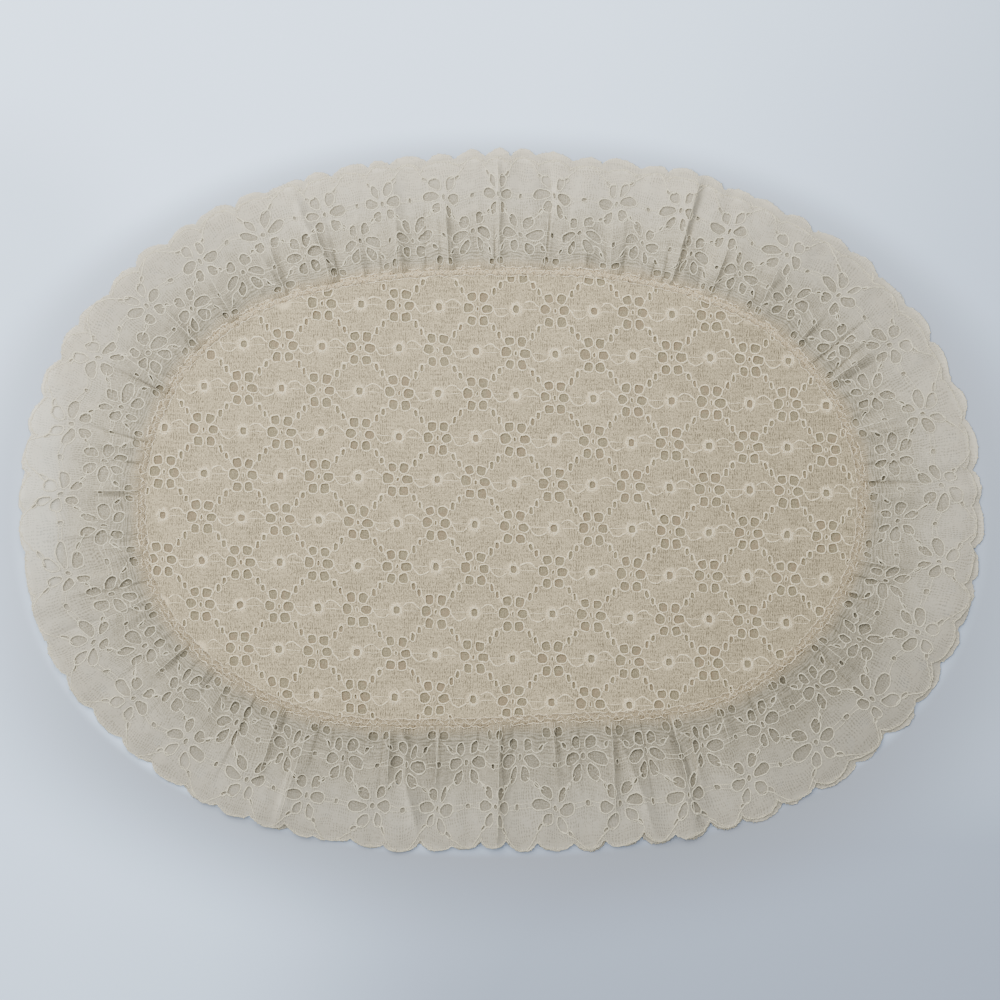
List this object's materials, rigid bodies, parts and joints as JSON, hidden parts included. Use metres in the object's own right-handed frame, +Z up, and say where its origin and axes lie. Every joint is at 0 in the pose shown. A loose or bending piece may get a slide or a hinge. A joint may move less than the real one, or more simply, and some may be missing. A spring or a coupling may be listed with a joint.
{
  "type": "oval lace doily",
  "caption": "Oval table doily: eyelet lace centre over a plain knit backing, with a double gathered scalloped lace frill round its seam.",
  "frame": {"origin": "under the middle of the whole outline, on the surface that the doily lies on", "axes": "+X along the doily's length, +Y towards its back edge, +Z up"},
  "size_m": [0.4498, 0.3266, 0.0094],
  "materials": {
    "backing_knit": "plain tan knit, matt",
    "centre_lace": "warm ivory eyelet lace with pale outline cord, matt",
    "lower_frill_lace": "greyish ivory sheer galloon lace, matt",
    "upper_frill_lace": "greyish ivory sheer galloon lace with pale outline cord, matt"
  },
  "bodies": {
    "root": {"backing_panel": "backing_knit", "centre_panel": "centre_lace", "lower_frill": "lower_frill_lace", "upper_frill": "upper_frill_lace"}
  },
  "joints": []
}
